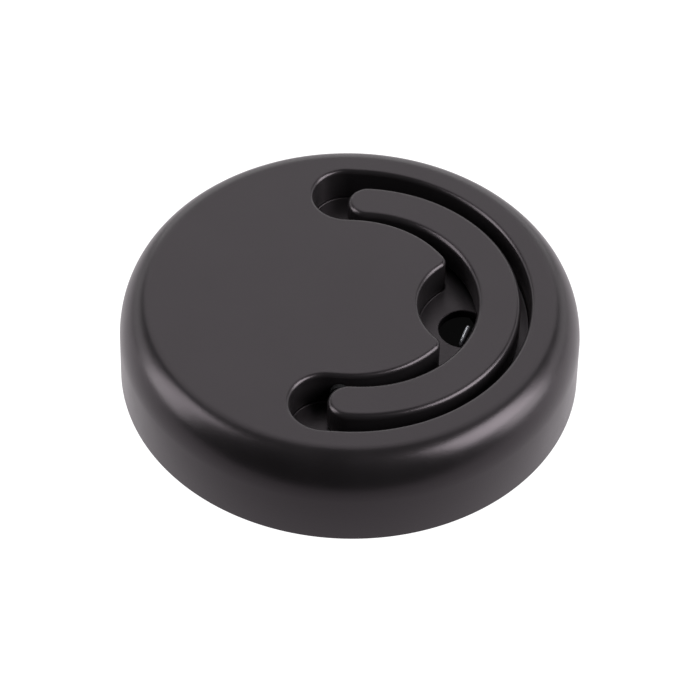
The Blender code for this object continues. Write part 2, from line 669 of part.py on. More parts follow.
def build():
    for old in list(bpy.data.objects):
        bpy.data.objects.remove(old, do_unlink=True)
    satin_black = make_material("satin_black_plastic", (0.07, 0.062, 0.067), 0.42)
    inner_black = make_material("inner_black_plastic", (0.03, 0.028, 0.03), 0.55)
    nylon = make_material("black_nylon", (0.02, 0.02, 0.021), 0.5)
    dark_steel = make_material("blackened_steel", (0.09, 0.09, 0.095), 0.4, 1.0)
    spring_steel = make_material("spring_steel", (0.5, 0.51, 0.53), 0.3, 1.0)
    rubber = make_material("black_rubber", (0.018, 0.018, 0.018), 0.8)
    foam = make_material("dark_foam", (0.05, 0.05, 0.052), 0.95)

    cap_slide = add_axis("cap_slide", (0, 0, FLANGE_TOP))
    handle_hinge = add_axis("handle_hinge", (PIN_X, 0, PIN_Z))
    make_top_cap(satin_black, cap_slide)
    make_recess_floor(inner_black, cap_slide)
    make_handle(satin_black, handle_hinge)
    for label, side in (("front", -1), ("back", 1)):
        make_hinge_pin(f"hinge_pin_{label}", side, dark_steel, cap_slide)
        make_spacer(f"hinge_spacer_{label}", side, nylon, cap_slide)
    for number, place in enumerate(rim_screws(), 1):
        make_screw(f"rim_screw_{number}", place, FLOOR_FOOT, SCREW_LENGTH, dark_steel, cap_slide)
    for number, place in enumerate(island_screws(), 1):
        make_screw(f"island_screw_{number}", place, FLOOR_FOOT, SCREW_LENGTH, dark_steel, cap_slide)
    wire_foot = FLOOR_FOOT - SEAT_GAP - 2 * WIRE_RADIUS
    clip_screw_length = CLIP_SCREW_BITE + 2 * SEAT_GAP + 2 * WIRE_RADIUS
    place = clip_screw_place()
    make_screw("clip_screw", place, wire_foot, clip_screw_length, dark_steel, cap_slide)
    make_lead_clip(spring_steel, cap_slide)
    make_rest_pads(rubber, cap_slide)
    make_base_ring(inner_black)
    make_grip_ring(rubber)
    make_desk_pad(foam)


build()
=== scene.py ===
"""A round desk grommet: a thick cap with a C-shaped pull handle, on its base ring."""

import json
from math import acos, atan2, cos, degrees, pi, radians, sin, sqrt

import bmesh
import bpy
from mathutils import Matrix, Vector

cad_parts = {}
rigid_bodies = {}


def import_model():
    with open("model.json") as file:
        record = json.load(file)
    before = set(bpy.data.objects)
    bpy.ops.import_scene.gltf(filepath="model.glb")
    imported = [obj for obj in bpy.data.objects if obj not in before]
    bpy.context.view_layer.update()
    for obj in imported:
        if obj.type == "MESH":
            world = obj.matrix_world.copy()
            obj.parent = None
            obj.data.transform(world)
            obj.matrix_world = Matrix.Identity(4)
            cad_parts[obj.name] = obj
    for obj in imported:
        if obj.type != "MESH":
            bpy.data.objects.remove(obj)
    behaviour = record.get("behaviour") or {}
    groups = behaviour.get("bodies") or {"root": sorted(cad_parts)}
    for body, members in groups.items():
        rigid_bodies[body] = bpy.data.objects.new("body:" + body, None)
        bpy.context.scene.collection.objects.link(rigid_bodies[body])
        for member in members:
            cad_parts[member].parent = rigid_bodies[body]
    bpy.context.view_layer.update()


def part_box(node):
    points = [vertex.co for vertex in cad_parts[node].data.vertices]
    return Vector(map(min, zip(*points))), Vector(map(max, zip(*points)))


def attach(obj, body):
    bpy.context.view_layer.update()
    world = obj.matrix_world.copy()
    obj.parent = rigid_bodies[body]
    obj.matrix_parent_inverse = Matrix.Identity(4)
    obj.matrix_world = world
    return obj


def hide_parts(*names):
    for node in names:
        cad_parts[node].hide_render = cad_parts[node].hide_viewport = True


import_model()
MM = 0.001


# ---- Desk pad -------------------------------------------------------------------------------
# A flat ring of closed-cell foam, die cut from sheet and glued under the base. It takes up small
# unevenness in the desk, and each desk screw goes through a punched hole in it.

sharp_angle = radians(38)
merge_distance = 1e-4 * MM


def arc(centre, radius, start, end, steps):
    """Points round a centre from one angle to another, in degrees, both ends included."""
    angles = [radians(start + (end - start) * i / steps) for i in range(steps + 1)]
    return [(centre[0] + radius * cos(a), centre[1] + radius * sin(a)) for a in angles]


def polar(radius, angle):
    return radius * cos(radians(angle)), radius * sin(radians(angle))


def turned(profile, steps=192, closed=True):
    """A section of (radius, height) points spun round Z. An open one starts and ends on the axis."""
    bm = bmesh.new()
    verts = [bm.verts.new((r, 0, z)) for r, z in profile]
    ends = zip(verts, verts[1:] + verts[:1] if closed else verts[1:])
    edges = [bm.edges.new(pair) for pair in ends]
    bmesh.ops.spin(
        bm, geom=verts + edges, axis=(0, 0, 1), angle=2 * pi, steps=steps, use_merge=True
    )
    bmesh.ops.remove_doubles(bm, verts=bm.verts, dist=merge_distance)
    bmesh.ops.recalc_face_normals(bm, faces=bm.faces)
    return bm


def rounded(corners, radius, steps=5):
    """A closed section whose corners are each rounded by an arc."""
    points = []
    for before, corner, after in zip(corners[-1:] + corners[:-1], corners, corners[1:] + corners[:1]):
        here = Vector(corner)
        into = (Vector(before) - here).normalized()
        out = (Vector(after) - here).normalized()
        half = into.angle(out) / 2
        centre = here + (into + out).normalized() * radius / sin(half)
        first = here + into * radius / sin(half) * cos(half) - centre
        last = here + out * radius / sin(half) * cos(half) - centre
        turn = first.angle_signed(last)
        for i in range(steps + 1):
            spoke = Matrix.Rotation(-turn * i / steps, 2) @ first
            points.append(tuple(centre + spoke))
    return points


def moved(bm, place):
    bmesh.ops.translate(bm, verts=bm.verts, vec=place)
    return bm


def reshape(piece, operation, shapes):
    """Joins closed shapes to a piece, or cuts them from it, and keeps only the result."""
    helpers = bpy.data.collections.new(f"{piece.name}_helpers")
    bpy.context.scene.collection.children.link(helpers)
    for number, bm in enumerate(shapes, 1):
        mesh = bpy.data.meshes.new(f"{piece.name}_helper_{number}")
        bm.to_mesh(mesh)
        bm.free()
        mesh.shade_smooth()
        helpers.objects.link(bpy.data.objects.new(mesh.name, mesh))
    boolean = piece.modifiers.new("reshape", "BOOLEAN")
    boolean.operation = operation
    boolean.operand_type = "COLLECTION"
    boolean.collection = helpers
    boolean.solver = "EXACT"
    graph = bpy.context.evaluated_depsgraph_get()
    result = bpy.data.meshes.new_from_object(piece.evaluated_get(graph))
    piece.modifiers.clear()
    piece.data = result
    result.set_sharp_from_angle(angle=sharp_angle)
    for helper in list(helpers.objects):
        bpy.data.objects.remove(helper, do_unlink=True)
    bpy.data.collections.remove(helpers)


def add_piece(name, bm, finish, body, slot, *nodes):
    """A finished piece that rides on a body and stands for its CAD nodes."""
    mesh = bpy.data.meshes.new(name)
    bm.to_mesh(mesh)
    bm.free()
    mesh.materials.append(finish)
    mesh.shade_smooth()
    mesh.set_sharp_from_angle(angle=sharp_angle)
    piece = bpy.data.objects.new(name, mesh)
    bpy.context.scene.collection.objects.link(piece)
    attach(piece, body)
    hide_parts(*nodes)
    return piece


class Finish:
    """A procedural material: a Principled shader, with textures on Object coordinates."""

    def __init__(self, name, colour, roughness, metallic=0.0, specular=0.5, tint=(1, 1, 1)):
        self.material = bpy.data.materials.new(name)
        self.material.use_nodes = True
        self.nodes = self.material.node_tree.nodes
        self.links = self.material.node_tree.links
        self.shader = self.nodes["Principled BSDF"]
        self.shader.inputs["Base Color"].default_value = (*colour, 1)
        self.shader.inputs["Roughness"].default_value = roughness
        self.shader.inputs["Metallic"].default_value = metallic
        self.shader.inputs["Specular IOR Level"].default_value = specular
        self.shader.inputs["Specular Tint"].default_value = (*tint, 1)
        self.place = self.nodes.new("ShaderNodeTexCoord").outputs["Object"]
        self.last_bump = None

    def noise(self, grain, detail=3.0, stretch=None):
        """Noise whose features are about one grain across, in metres."""
        place = self.place
        if stretch:
            mapping = self.nodes.new("ShaderNodeMapping")
            mapping.inputs["Scale"].default_value = stretch
            self.links.new(place, mapping.inputs["Vector"])
            place = mapping.outputs["Vector"]
        texture = self.nodes.new("ShaderNodeTexNoise")
        texture.inputs["Scale"].default_value = 1 / grain
        texture.inputs["Detail"].default_value = detail
        self.links.new(place, texture.inputs["Vector"])
        return texture.outputs["Fac"]

    def cells(self, size):
        """Rounded bubbles about one size across, in metres."""
        texture = self.nodes.new("ShaderNodeTexVoronoi")
        texture.inputs["Scale"].default_value = 1 / size
        self.links.new(self.place, texture.inputs["Vector"])
        return texture.outputs["Distance"]

    def spread(self, value, low, high, from_low=0.3, from_high=0.7):
        """A texture's value, taken from its own range to another."""
        ranged = self.nodes.new("ShaderNodeMapRange")
        for socket, number in (
            ("From Min", from_low),
            ("From Max", from_high),
            ("To Min", low),
            ("To Max", high),
        ):
            ranged.inputs[socket].default_value = number
        self.links.new(value, ranged.inputs["Value"])
        return ranged.outputs["Result"]

    def vary_roughness(self, value, low, high):
        self.links.new(self.spread(value, low, high), self.shader.inputs["Roughness"])

    def vary_colour(self, value, one, other):
        mix = self.nodes.new("ShaderNodeMix")
        mix.data_type = "RGBA"
        mix.inputs["A"].default_value = (*one, 1)
        mix.inputs["B"].default_value = (*other, 1)
        self.links.new(self.spread(value, 0, 1), mix.inputs["Factor"])
        self.links.new(mix.outputs["Result"], self.shader.inputs["Base Color"])

    def bump(self, value, height):
        """Raises the surface by up to a height in metres. Later bumps lie on earlier ones."""
        node = self.nodes.new("ShaderNodeBump")
        node.inputs["Distance"].default_value = height
        node.inputs["Strength"].default_value = 1.0
        self.links.new(value, node.inputs["Height"])
        if self.last_bump:
            self.links.new(self.last_bump, node.inputs["Normal"])
        self.last_bump = node.outputs["Normal"]
        self.links.new(self.last_bump, self.shader.inputs["Normal"])


foam = Finish("pad_foam", (0.035, 0.035, 0.037), 0.95, specular=0.2)
foam.vary_colour(foam.noise(3 * MM), (0.026, 0.026, 0.028), (0.045, 0.045, 0.047))
foam.bump(foam.cells(0.35 * MM), 0.12 * MM)

pad_low, pad_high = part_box("desk_pad")
pad_outer = pad_high.x
pad_inner = 32.5 * MM
pad_edge = 0.25 * MM
desk_hole_circle = 40.85 * MM
desk_hole_angles = (0, 90, 180, 270)
desk_holes = [polar(desk_hole_circle, angle) for angle in desk_hole_angles]
desk_hole_radius = 2.1 * MM
pad_hole_radius = desk_hole_radius + 1.0 * MM
over = 1.0 * MM

section = rounded(
    [(pad_inner, pad_low.z), (pad_outer, pad_low.z), (pad_outer, pad_high.z), (pad_inner, pad_high.z)],
    pad_edge,
)
desk_pad = add_piece("foam_pad", turned(section), foam.material, "base", "dark_foam", "desk_pad")


def plug(radius, low, high, steps=48):
    """A plain round cutter."""
    return turned([(0, low), (radius, low), (radius, high), (0, high)], steps, closed=False)


reshape(
    desk_pad,
    "DIFFERENCE",
    [moved(plug(pad_hole_radius, -over, pad_high.z + over), (*p, 0)) for p in desk_holes],
)


# ---- Base ring ------------------------------------------------------------------------------
# The moulded black flange that stays on the desk round the cut-out. Its collar lines the cable
# passage, holds the grip ring in a groove, and has two keys that stop the cap from turning.

plastic_tint = (1.0, 0.88, 0.96)
inner_plastic = Finish("inner_moulding", (0.0115, 0.0103, 0.0112), 0.36, tint=plastic_tint)
inner_plastic.vary_roughness(inner_plastic.noise(6 * MM), 0.32, 0.42)
inner_plastic.vary_colour(
    inner_plastic.noise(9 * MM), (0.0105, 0.0094, 0.0102), (0.013, 0.0117, 0.0126)
)
inner_plastic.bump(inner_plastic.noise(0.22 * MM, 2.0), 0.012 * MM)

base_low, base_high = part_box("base_ring")
flange_radius = base_high.x
passage_radius = 30.0 * MM
collar_radius = 32.5 * MM
flange_top = base_low.z + 2.5 * MM
groove_depth = 1.1 * MM
groove_low, groove_high = 8.17 * MM, 9.73 * MM
collar_lip = 0.4 * MM
edge = 0.3 * MM

section = (
    arc((passage_radius + edge, base_low.z + edge), edge, 180, 270, 5)
    + arc((flange_radius - edge, base_low.z + edge), edge, 270, 360, 5)
    + arc((flange_radius - edge, flange_top - edge), edge, 0, 90, 5)
    + arc((collar_radius + 2 * edge, flange_top + 2 * edge), 2 * edge, 270, 180, 6)
    + [(collar_radius, groove_low), (collar_radius - groove_depth, groove_low)]
    + [(collar_radius - groove_depth, groove_high), (collar_radius, groove_high)]
    + arc((collar_radius - collar_lip, base_high.z - collar_lip), collar_lip, 0, 90, 6)
    + arc((passage_radius + edge, base_high.z - edge), edge, 90, 180, 5)
)
base = add_piece(
    "base_flange", turned(section), inner_plastic.material, "base", "inner_black_plastic", "base_ring"
)
key_angles = (90, 270)
key_width, key_height, key_reach = 4.0 * MM, 3.6 * MM, 2.3 * MM
key_root = 1.0 * MM


def standing_block(angle, inner, outer, width, low, high, soft=0.0):
    """A block across a radius of the Z axis, its edges bevelled where soft is given."""
    bm = bmesh.new()
    bmesh.ops.create_cube(bm, size=1)
    bmesh.ops.scale(bm, verts=bm.verts, vec=(outer - inner, width, high - low))
    bmesh.ops.translate(bm, verts=bm.verts, vec=((inner + outer) / 2, 0, (low + high) / 2))
    if soft:
        bmesh.ops.bevel(
            bm, geom=bm.edges[:], offset=soft, segments=3, profile=0.5, affect="EDGES", material=-1
        )
    bmesh.ops.rotate(bm, verts=bm.verts, matrix=Matrix.Rotation(radians(angle), 3, "Z"))
    return bm


reshape(
    base,
    "UNION",
    [
        standing_block(
            angle,
            collar_radius - key_root,
            collar_radius + key_reach,
            key_width,
            flange_top - key_root,
            flange_top + key_height,
            soft=0.25 * MM,
        )
        for angle in key_angles
    ],
)
sink = 1.9 * MM
countersink = [
    (0, base_low.z - over),
    (desk_hole_radius, base_low.z - over),
    (desk_hole_radius, flange_top - sink),
    (desk_hole_radius + sink, flange_top),
    (desk_hole_radius + sink, flange_top + over),
    (0, flange_top + over),
]
reshape(
    base,
    "DIFFERENCE",
    [moved(turned(countersink, 48, closed=False), (*p, 0)) for p in desk_holes],
)


# ---- Grip ring ------------------------------------------------------------------------------
# A round-section rubber ring stretched into the collar's groove. It drags on the cap's spigot,
# and that is all that holds the cap on.

rubber = Finish("soft_rubber", (0.014, 0.014, 0.014), 0.7, specular=0.35)
rubber.vary_roughness(rubber.noise(2 * MM), 0.6, 0.82)
rubber.bump(rubber.noise(0.15 * MM, 2.0), 0.01 * MM)

ring_low, ring_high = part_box("grip_ring")
ring_radius = (ring_high.z - ring_low.z) / 2
ring_middle = ring_high.x - ring_radius
ring_steps = 24
last_step = 360 - 360 / ring_steps
section = arc(
    (ring_middle, (ring_low.z + ring_high.z) / 2), ring_radius, 0, last_step, ring_steps - 1
)
add_piece("o_ring", turned(section), rubber.material, "base", "black_rubber", "grip_ring")


# ---- Recess floor ---------------------------------------------------------------------------
# A second moulding that closes the cap from below. Its top is the floor of the C-shaped recess,
# with a low lip against the foot of the walls, and its spigot fits over the base's collar.

cap_low, cap_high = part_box("top_cap")
floor_low, floor_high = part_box("recess_floor")
handle_low, handle_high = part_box("pull_handle")
recess_depth = 8.25 * MM
floor_top = cap_high.z - recess_depth
floor_foot = floor_top - 2.2 * MM
floor_radius = floor_high.x
spigot_inside = 33.0 * MM
spigot_outside = 35.5 * MM
slot_outside = cap_high.x - 11.25 * MM
slot_inside = slot_outside - 14.95 * MM
slot_straight = 3.0 * MM
notch_radius = 14.75 * MM
notch_x = slot_inside - 9.25 * MM + notch_radius
notch_corner = 2.5 * MM


def slot_outline(grow=0.0):
    """The slot with its finger notch, in plan. A positive grow moves the whole outline outwards."""
    outside = slot_outside + grow
    inside = slot_inside - grow
    notch = notch_radius + grow
    corner = max(notch_corner - grow, 0.1 * MM)
    reach = inside - corner
    corner_x = (reach**2 - (notch + corner) ** 2 + notch_x**2) / (2 * notch_x)
    corner_y = sqrt(reach**2 - corner_x**2)
    on_island = degrees(atan2(corner_y, corner_x))
    on_notch = degrees(atan2(-corner_y, notch_x - corner_x))
    half = arc((0, 0), outside, 0, 90, 80)[1:]
    half += arc((-slot_straight, (outside + inside) / 2), (outside - inside) / 2, 90, 270, 56)
    half += arc((0, 0), inside, 90, on_island, 40)
    half += arc((corner_x, corner_y), corner, on_island, on_notch, 18)[1:]
    half += arc((notch_x, 0), notch, 180 + on_notch, 180, 30)[1:]
    return [(outside, 0.0)] + half + [(x, -y) for x, y in reversed(half[:-1])]


def skirted(bm, outlines):
    """Draws the first outline as a ring of edges, then extrudes it to each next one in turn.

    An outline is a height and its points in plan. Returns the first and the last ring.
    """
    height, points = outlines[0]
    verts = [bm.verts.new((x, y, height)) for x, y in points]
    ring = first = [bm.edges.new(pair) for pair in zip(verts, verts[1:] + verts[:1])]
    for height, points in outlines[1:]:
        grown = bmesh.ops.extrude_edge_only(bm, edges=ring)["geom"]
        twins = {v.co.to_tuple(): v for v in grown if isinstance(v, bmesh.types.BMVert)}
        verts = [twins[v.co.to_tuple()] for v in verts]
        for vert, (x, y) in zip(verts, points):
            vert.co = (x, y, height)
        ring = [bm.edges.get(pair) for pair in zip(verts, verts[1:] + verts[:1])]
    return first, ring


def circle(radius, steps=192):
    return [polar(radius, 360 * i / steps) for i in range(steps)]


def flat(bm, *rings):
    """Fills the level space between rings of edges, or inside one. The fill needs a larger scale."""
    bmesh.ops.scale(bm, verts=bm.verts, vec=(1 / MM,) * 3)
    bmesh.ops.triangle_fill(bm, edges=[e for ring in rings for e in ring], use_beauty=True)
    bmesh.ops.scale(bm, verts=bm.verts, vec=(MM,) * 3)


lip_height = 0.28 * MM
lip_width = 0.3 * MM
lip_grow = -0.02 * MM
floor_margin = 0.3 * MM
bm = bmesh.new()
lip = [(lip_grow, floor_top), (lip_grow, floor_top + lip_height)]
for x, y in arc((lip_grow - lip_width, lip_height), lip_height, 0, -90, 6):
    lip.append((x, floor_top + y))
lip.append((lip[-1][0] - floor_margin, floor_top))
lip_top, lip_foot = skirted(bm, [(height, slot_outline(grow)) for grow, height in lip])
outside = (
    arc((floor_radius - edge, floor_top - edge), edge, 90, 0, 5)
    + arc((floor_radius - edge, floor_foot + edge), edge, 0, -90, 5)
    + arc((spigot_outside + edge, floor_foot - edge), edge, 90, 180, 5)
    + arc((spigot_outside - edge, floor_low.z + edge), edge, 0, -90, 5)
    + arc((spigot_inside + edge, floor_low.z + edge), edge, -90, -180, 5)
    + [(spigot_inside, floor_foot)]
)
plate_top, plate_foot = skirted(bm, [(height, circle(radius)) for radius, height in outside])
flat(bm, plate_top, lip_top)
flat(bm, lip_foot)
flat(bm, plate_foot)
bmesh.ops.recalc_face_normals(bm, faces=bm.faces)
floor_plate = add_piece(
    "floor_plate", bm, inner_plastic.material, "cap", "inner_black_plastic", "recess_floor"
)

pin_x = handle_low.x + 2.225 * MM
pin_z = cap_high.z - 4.2 * MM
pin_radius = 1.2 * MM
keeper_inner, keeper_outer, keeper_width = 17.0 * MM, 18.2 * MM, 5.0 * MM
keeper_root = 1.0 * MM
keepers = []
for side in (-1, 1):
    keeper = bmesh.new()
    bmesh.ops.create_cube(keeper, size=1)
    height = floor_high.z - floor_foot - keeper_root
    size = (keeper_width, keeper_outer - keeper_inner, height)
    bmesh.ops.scale(keeper, verts=keeper.verts, vec=size)
    middle = side * (keeper_inner + keeper_outer) / 2
    keepers.append(moved(keeper, (pin_x, middle, floor_high.z - height / 2)))
reshape(floor_plate, "UNION", keepers)

hole_radius = 5.45 * MM
hole_x = 24.7 * MM
hole_edge = 0.35 * MM
screw_radius = 1.2 * MM
screw_fit = 0.1 * MM
rim_screw_circle, island_screw_circle, clip_screw_circle = 43.2 * MM, 12.7 * MM, 19.1 * MM
rim_screws = [polar(rim_screw_circle, angle) for angle in (45, 135, 225, 315)]
island_screws = [polar(island_screw_circle, angle) for angle in (-45, 45)]
clip_screw = polar(clip_screw_circle, -47)
bar_width = 9.25 * MM
rest_radius = 1.8 * MM
rest_circle = handle_high.y - bar_width / 2
rest_x = handle_high.x - handle_high.y
rests = [(rest_x + x, y) for x, y in (polar(rest_circle, a) for a in (-75, -30, 30, 75))]
rest_pocket = floor_top - 1.0 * MM
rest_gap = 0.2 * MM
key_slot_inset, key_side_gap, key_top_gap = 0.5 * MM, 0.6 * MM, 0.3 * MM
cutters = [
    moved(
        turned(
            [(0, floor_foot - over), (hole_radius + hole_edge, floor_foot - over)]
            + [(hole_radius + hole_edge, floor_foot)]
            + arc((hole_radius + hole_edge, floor_foot + hole_edge), hole_edge, 270, 180, 5)[1:]
            + arc((hole_radius + hole_edge, floor_top - hole_edge), hole_edge, 180, 90, 6)
            + [(hole_radius + hole_edge, floor_top + over), (0, floor_top + over)],
            96,
            closed=False,
        ),
        (hole_x, 0, 0),
    )
]
for place in rim_screws + island_screws + [clip_screw]:
    screw_hole = plug(screw_radius + screw_fit, floor_foot - over, floor_top + over)
    cutters.append(moved(screw_hole, (*place, 0)))
for place in rests:
    pocket = plug(rest_radius + rest_gap, rest_pocket, floor_top + over)
    cutters.append(moved(pocket, (*place, 0)))
for angle in key_angles:
    cutters.append(
        standing_block(
            angle,
            spigot_inside - key_slot_inset,
            spigot_outside + over,
            key_width + key_side_gap,
            floor_low.z - over,
            flange_top + key_height + key_top_gap,
        )
    )
reshape(floor_plate, "DIFFERENCE", cutters)


# ---- Rest pads ------------------------------------------------------------------------------
# Four small rubber buttons pressed into pockets in the recess floor. The folded handle would
# otherwise rattle on the hard floor.

button_dome = 0.25 * MM
button_flat = 0.45
for number, place in enumerate(rests, 1):
    node = f"rest_pad_{number}"
    low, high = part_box(node)
    section = (
        [(0, low.z), (rest_radius - edge, low.z)]
        + arc((rest_radius - button_dome, high.z - button_dome), button_dome, 0, 90, 5)
        + [(rest_radius * button_flat, high.z), (0, high.z)]
    )
    button = moved(turned(section, 40, closed=False), (*place, 0))
    add_piece(f"rest_button_{number}", button, rubber.material, "cap", "black_rubber", node)


# ---- Cover ----------------------------------------------------------------------------------
# The moulded shell that is seen on the desk: satin black ABS with a fine spark-eroded grain. The
# rim is a long soft round, and the slot's upper edge has a small one all the way along.

satin_plastic = Finish("satin_grain", (0.0105, 0.0094, 0.0102), 0.3, tint=plastic_tint)
satin_plastic.vary_colour(
    satin_plastic.noise(14 * MM, 4.0), (0.0095, 0.0085, 0.0092), (0.0118, 0.0106, 0.0115)
)
satin_plastic.vary_roughness(satin_plastic.noise(7 * MM, 4.0), 0.28, 0.325)
satin_plastic.bump(satin_plastic.noise(0.42 * MM, 2.0), 0.011 * MM)
scuffs = satin_plastic.noise(6 * MM, 2.0, stretch=(0.16, 9.0, 1.0))
satin_plastic.bump(satin_plastic.spread(scuffs, 0, 1, 0.72, 0.75), 0.002 * MM)

rim_width, rim_height = 7.05 * MM, 10.5 * MM
draft = 0.2 * MM
skirt_wall = 3.0 * MM
skin = 2.0 * MM
slot_wall = 2.2 * MM
slot_edge = 1.05 * MM
wall_foot = floor_top + 0.3 * MM
skin_foot = cap_high.z - skin
shoulder = cap_high.z - rim_height
flat_radius = cap_high.x - rim_width
rim_steps = 40
shell_steps = 256
flat_margin = 0.4 * MM
land_margin = 0.25 * MM
wall_edge = 0.15 * MM
skin_edge = 0.3 * MM


def rim(width, height, shoulder_height):
    """The rim's quarter ellipse, from the top down, as (radius, height)."""
    quarter = [pi / 2 * i / rim_steps for i in range(rim_steps + 1)]
    return [(flat_radius + width * sin(a), shoulder_height + height * cos(a)) for a in quarter]


skirt_foot = 0.35 * MM
outside = (
    [(flat_radius - flat_margin, cap_high.z)]
    + rim(rim_width - draft, rim_height, shoulder)
    + arc((cap_high.x - skirt_foot, cap_low.z + skirt_foot), skirt_foot, 0, -90, 5)
    + arc((cap_high.x - skirt_wall + skirt_foot, cap_low.z + skirt_foot), skirt_foot, -90, -180, 5)
    + rim(rim_width - skirt_wall, rim_height - skin, shoulder)[::-1]
    + [(flat_radius - flat_margin, skin_foot)]
)
bm = bmesh.new()
shell = [(height, circle(radius, shell_steps)) for radius, height in outside]
shell_top, shell_under = skirted(bm, shell)
lips = [(slot_edge + land_margin, cap_high.z)]
for out, down in arc((slot_edge, -slot_edge), slot_edge, 90, 180, 10):
    lips.append((out, cap_high.z + down))
lips += [(0.0, wall_foot + wall_edge), (wall_edge, wall_foot), (slot_wall - wall_edge, wall_foot)]
lips += [(slot_wall, wall_foot + wall_edge), (slot_wall, skin_foot - skin_edge)]
lips += [(slot_wall + skin_edge, skin_foot)]
slot_top, slot_under = skirted(bm, [(height, slot_outline(grow)) for grow, height in lips])
flat(bm, shell_top, slot_top)
flat(bm, shell_under, slot_under)
bmesh.ops.recalc_face_normals(bm, faces=bm.faces)
cover = add_piece("cover", bm, satin_plastic.material, "cap", "satin_black_plastic", "top_cap")

boss_radius = 2.6 * MM
boss_top = skin_foot + 0.4 * MM
bosses = [
    moved(plug(boss_radius, wall_foot, boss_top), (*place, 0))
    for place in rim_screws + island_screws
]
boss_inner = 20.0 * MM
boss_size = (6.4 * MM, slot_inside - slot_wall / 2 - boss_inner)
for side in (-1, 1):
    block = bmesh.new()
    bmesh.ops.create_cube(block, size=1)
    height = boss_top - (pin_z - boss_size[0] / 2)
    bmesh.ops.scale(block, verts=block.verts, vec=(boss_size[0], boss_size[1], height))
    middle = side * (boss_inner + boss_size[1] / 2)
    bosses.append(moved(block, (pin_x, middle, boss_top - height / 2)))
reshape(cover, "UNION", bosses)


def on_hinge(bm, side):
    """Lays a shape made round Z along the hinge line, pointing out of the island on one side."""
    place = Matrix.Translation((pin_x, 0, pin_z)) @ Matrix.Rotation(radians(-90 * side), 4, "X")
    bmesh.ops.transform(bm, matrix=place, verts=bm.verts)
    return bm


pin_fit = 0.06 * MM
pilot_top = floor_foot + 6.8 * MM
bores = [
    moved(plug(screw_radius + screw_fit, wall_foot - over, pilot_top), (*place, 0))
    for place in rim_screws + island_screws
]
for side in (-1, 1):
    bores.append(on_hinge(plug(pin_radius + pin_fit, boss_inner - over, slot_inside + over), side))
reshape(cover, "DIFFERENCE", bores)


# ---- Screws ---------------------------------------------------------------------------------
# Pan-head thread-forming screws in blackened steel. Four go up into the rim's bosses and two into
# the island's, and a short one holds the lead clip.

dark_steel = Finish("black_oxide", (0.075, 0.075, 0.08), 0.36, metallic=1.0)
dark_steel.vary_roughness(dark_steel.noise(1.2 * MM), 0.28, 0.5)
dark_steel.vary_colour(dark_steel.noise(2 * MM), (0.06, 0.06, 0.065), (0.105, 0.1, 0.1))
dark_steel.bump(dark_steel.noise(0.12 * MM, 2.0), 0.004 * MM)

head_radius, head_height = 2.2 * MM, 1.6 * MM
thread_pitch, thread_depth = 0.9 * MM, 0.22 * MM
drive_width, drive_length, drive_depth = 0.6 * MM, 2.4 * MM, 0.8 * MM
drive_taper = 0.72
crown_share, crown_edge, rim_edge, under_edge = 0.45, 0.9 * MM, 0.5 * MM, 0.12 * MM
rim_rise = 0.75 * MM
plain_shank, plain_tip, point_edge = 0.4 * MM, 0.5 * MM, 0.35 * MM


def driven_screw(name, node, place, finish):
    """A pan-head screw, head down, filling its node's height."""
    low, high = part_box(node)
    under_head = low.z + head_height
    crown = head_radius * crown_share
    section = [(0, low.z)] + arc((crown, low.z + crown_edge), crown_edge, 270, 300, 3)
    section += arc((head_radius - rim_edge, low.z + rim_rise), rim_edge, 300, 360, 5)
    section += [(head_radius, under_head - under_edge), (head_radius - under_edge, under_head)]
    section += [(screw_radius, under_head)]
    height = under_head + plain_shank
    while height + thread_pitch < high.z - plain_tip:
        section.append((screw_radius, height))
        section.append((screw_radius - thread_depth, height + thread_pitch * 0.35))
        section.append((screw_radius - thread_depth, height + thread_pitch * 0.65))
        height += thread_pitch
    section += [(screw_radius, height), (screw_radius, high.z - point_edge)]
    section += [(screw_radius - point_edge, high.z), (0, high.z)]
    screw = moved(turned(section, 40, closed=False), (*place, 0))
    piece = add_piece(name, screw, finish, "cap", "blackened_steel", node)
    arms = []
    for size_x, size_y in ((drive_length, drive_width), (drive_width, drive_length)):
        arm = bmesh.new()
        bmesh.ops.create_cube(arm, size=1)
        bmesh.ops.scale(arm, verts=arm.verts, vec=(size_x, size_y, drive_depth + over))
        point = [v for v in arm.verts if v.co.z > 0]
        bmesh.ops.scale(arm, verts=point, vec=(drive_taper, drive_taper, 1))
        arms.append(moved(arm, (*place, low.z + (drive_depth - over) / 2)))
    reshape(piece, "DIFFERENCE", arms)


for number, place in enumerate(rim_screws, 1):
    driven_screw(f"rim_pan_screw_{number}", f"rim_screw_{number}", place, dark_steel.material)
for number, place in enumerate(island_screws, 1):
    driven_screw(f"island_pan_screw_{number}", f"island_screw_{number}", place, dark_steel.material)
driven_screw("clip_pan_screw", "clip_screw", clip_screw, dark_steel.material)


# ---- Lead clip ------------------------------------------------------------------------------
# A bent piece of bright spring wire. Its eye is under a screw below the floor, and its tip stands
# in the hole and nips a thin lead against the edge.

spring_steel = Finish("bright_wire", (0.42, 0.43, 0.46), 0.34, metallic=1.0)
spring_steel.vary_roughness(spring_steel.noise(0.8 * MM), 0.4, 0.55)
spring_steel.vary_colour(spring_steel.noise(1.5 * MM), (0.36, 0.37, 0.4), (0.5, 0.51, 0.54))
spring_steel.bump(spring_steel.noise(0.1 * MM, 2.0), 0.003 * MM)

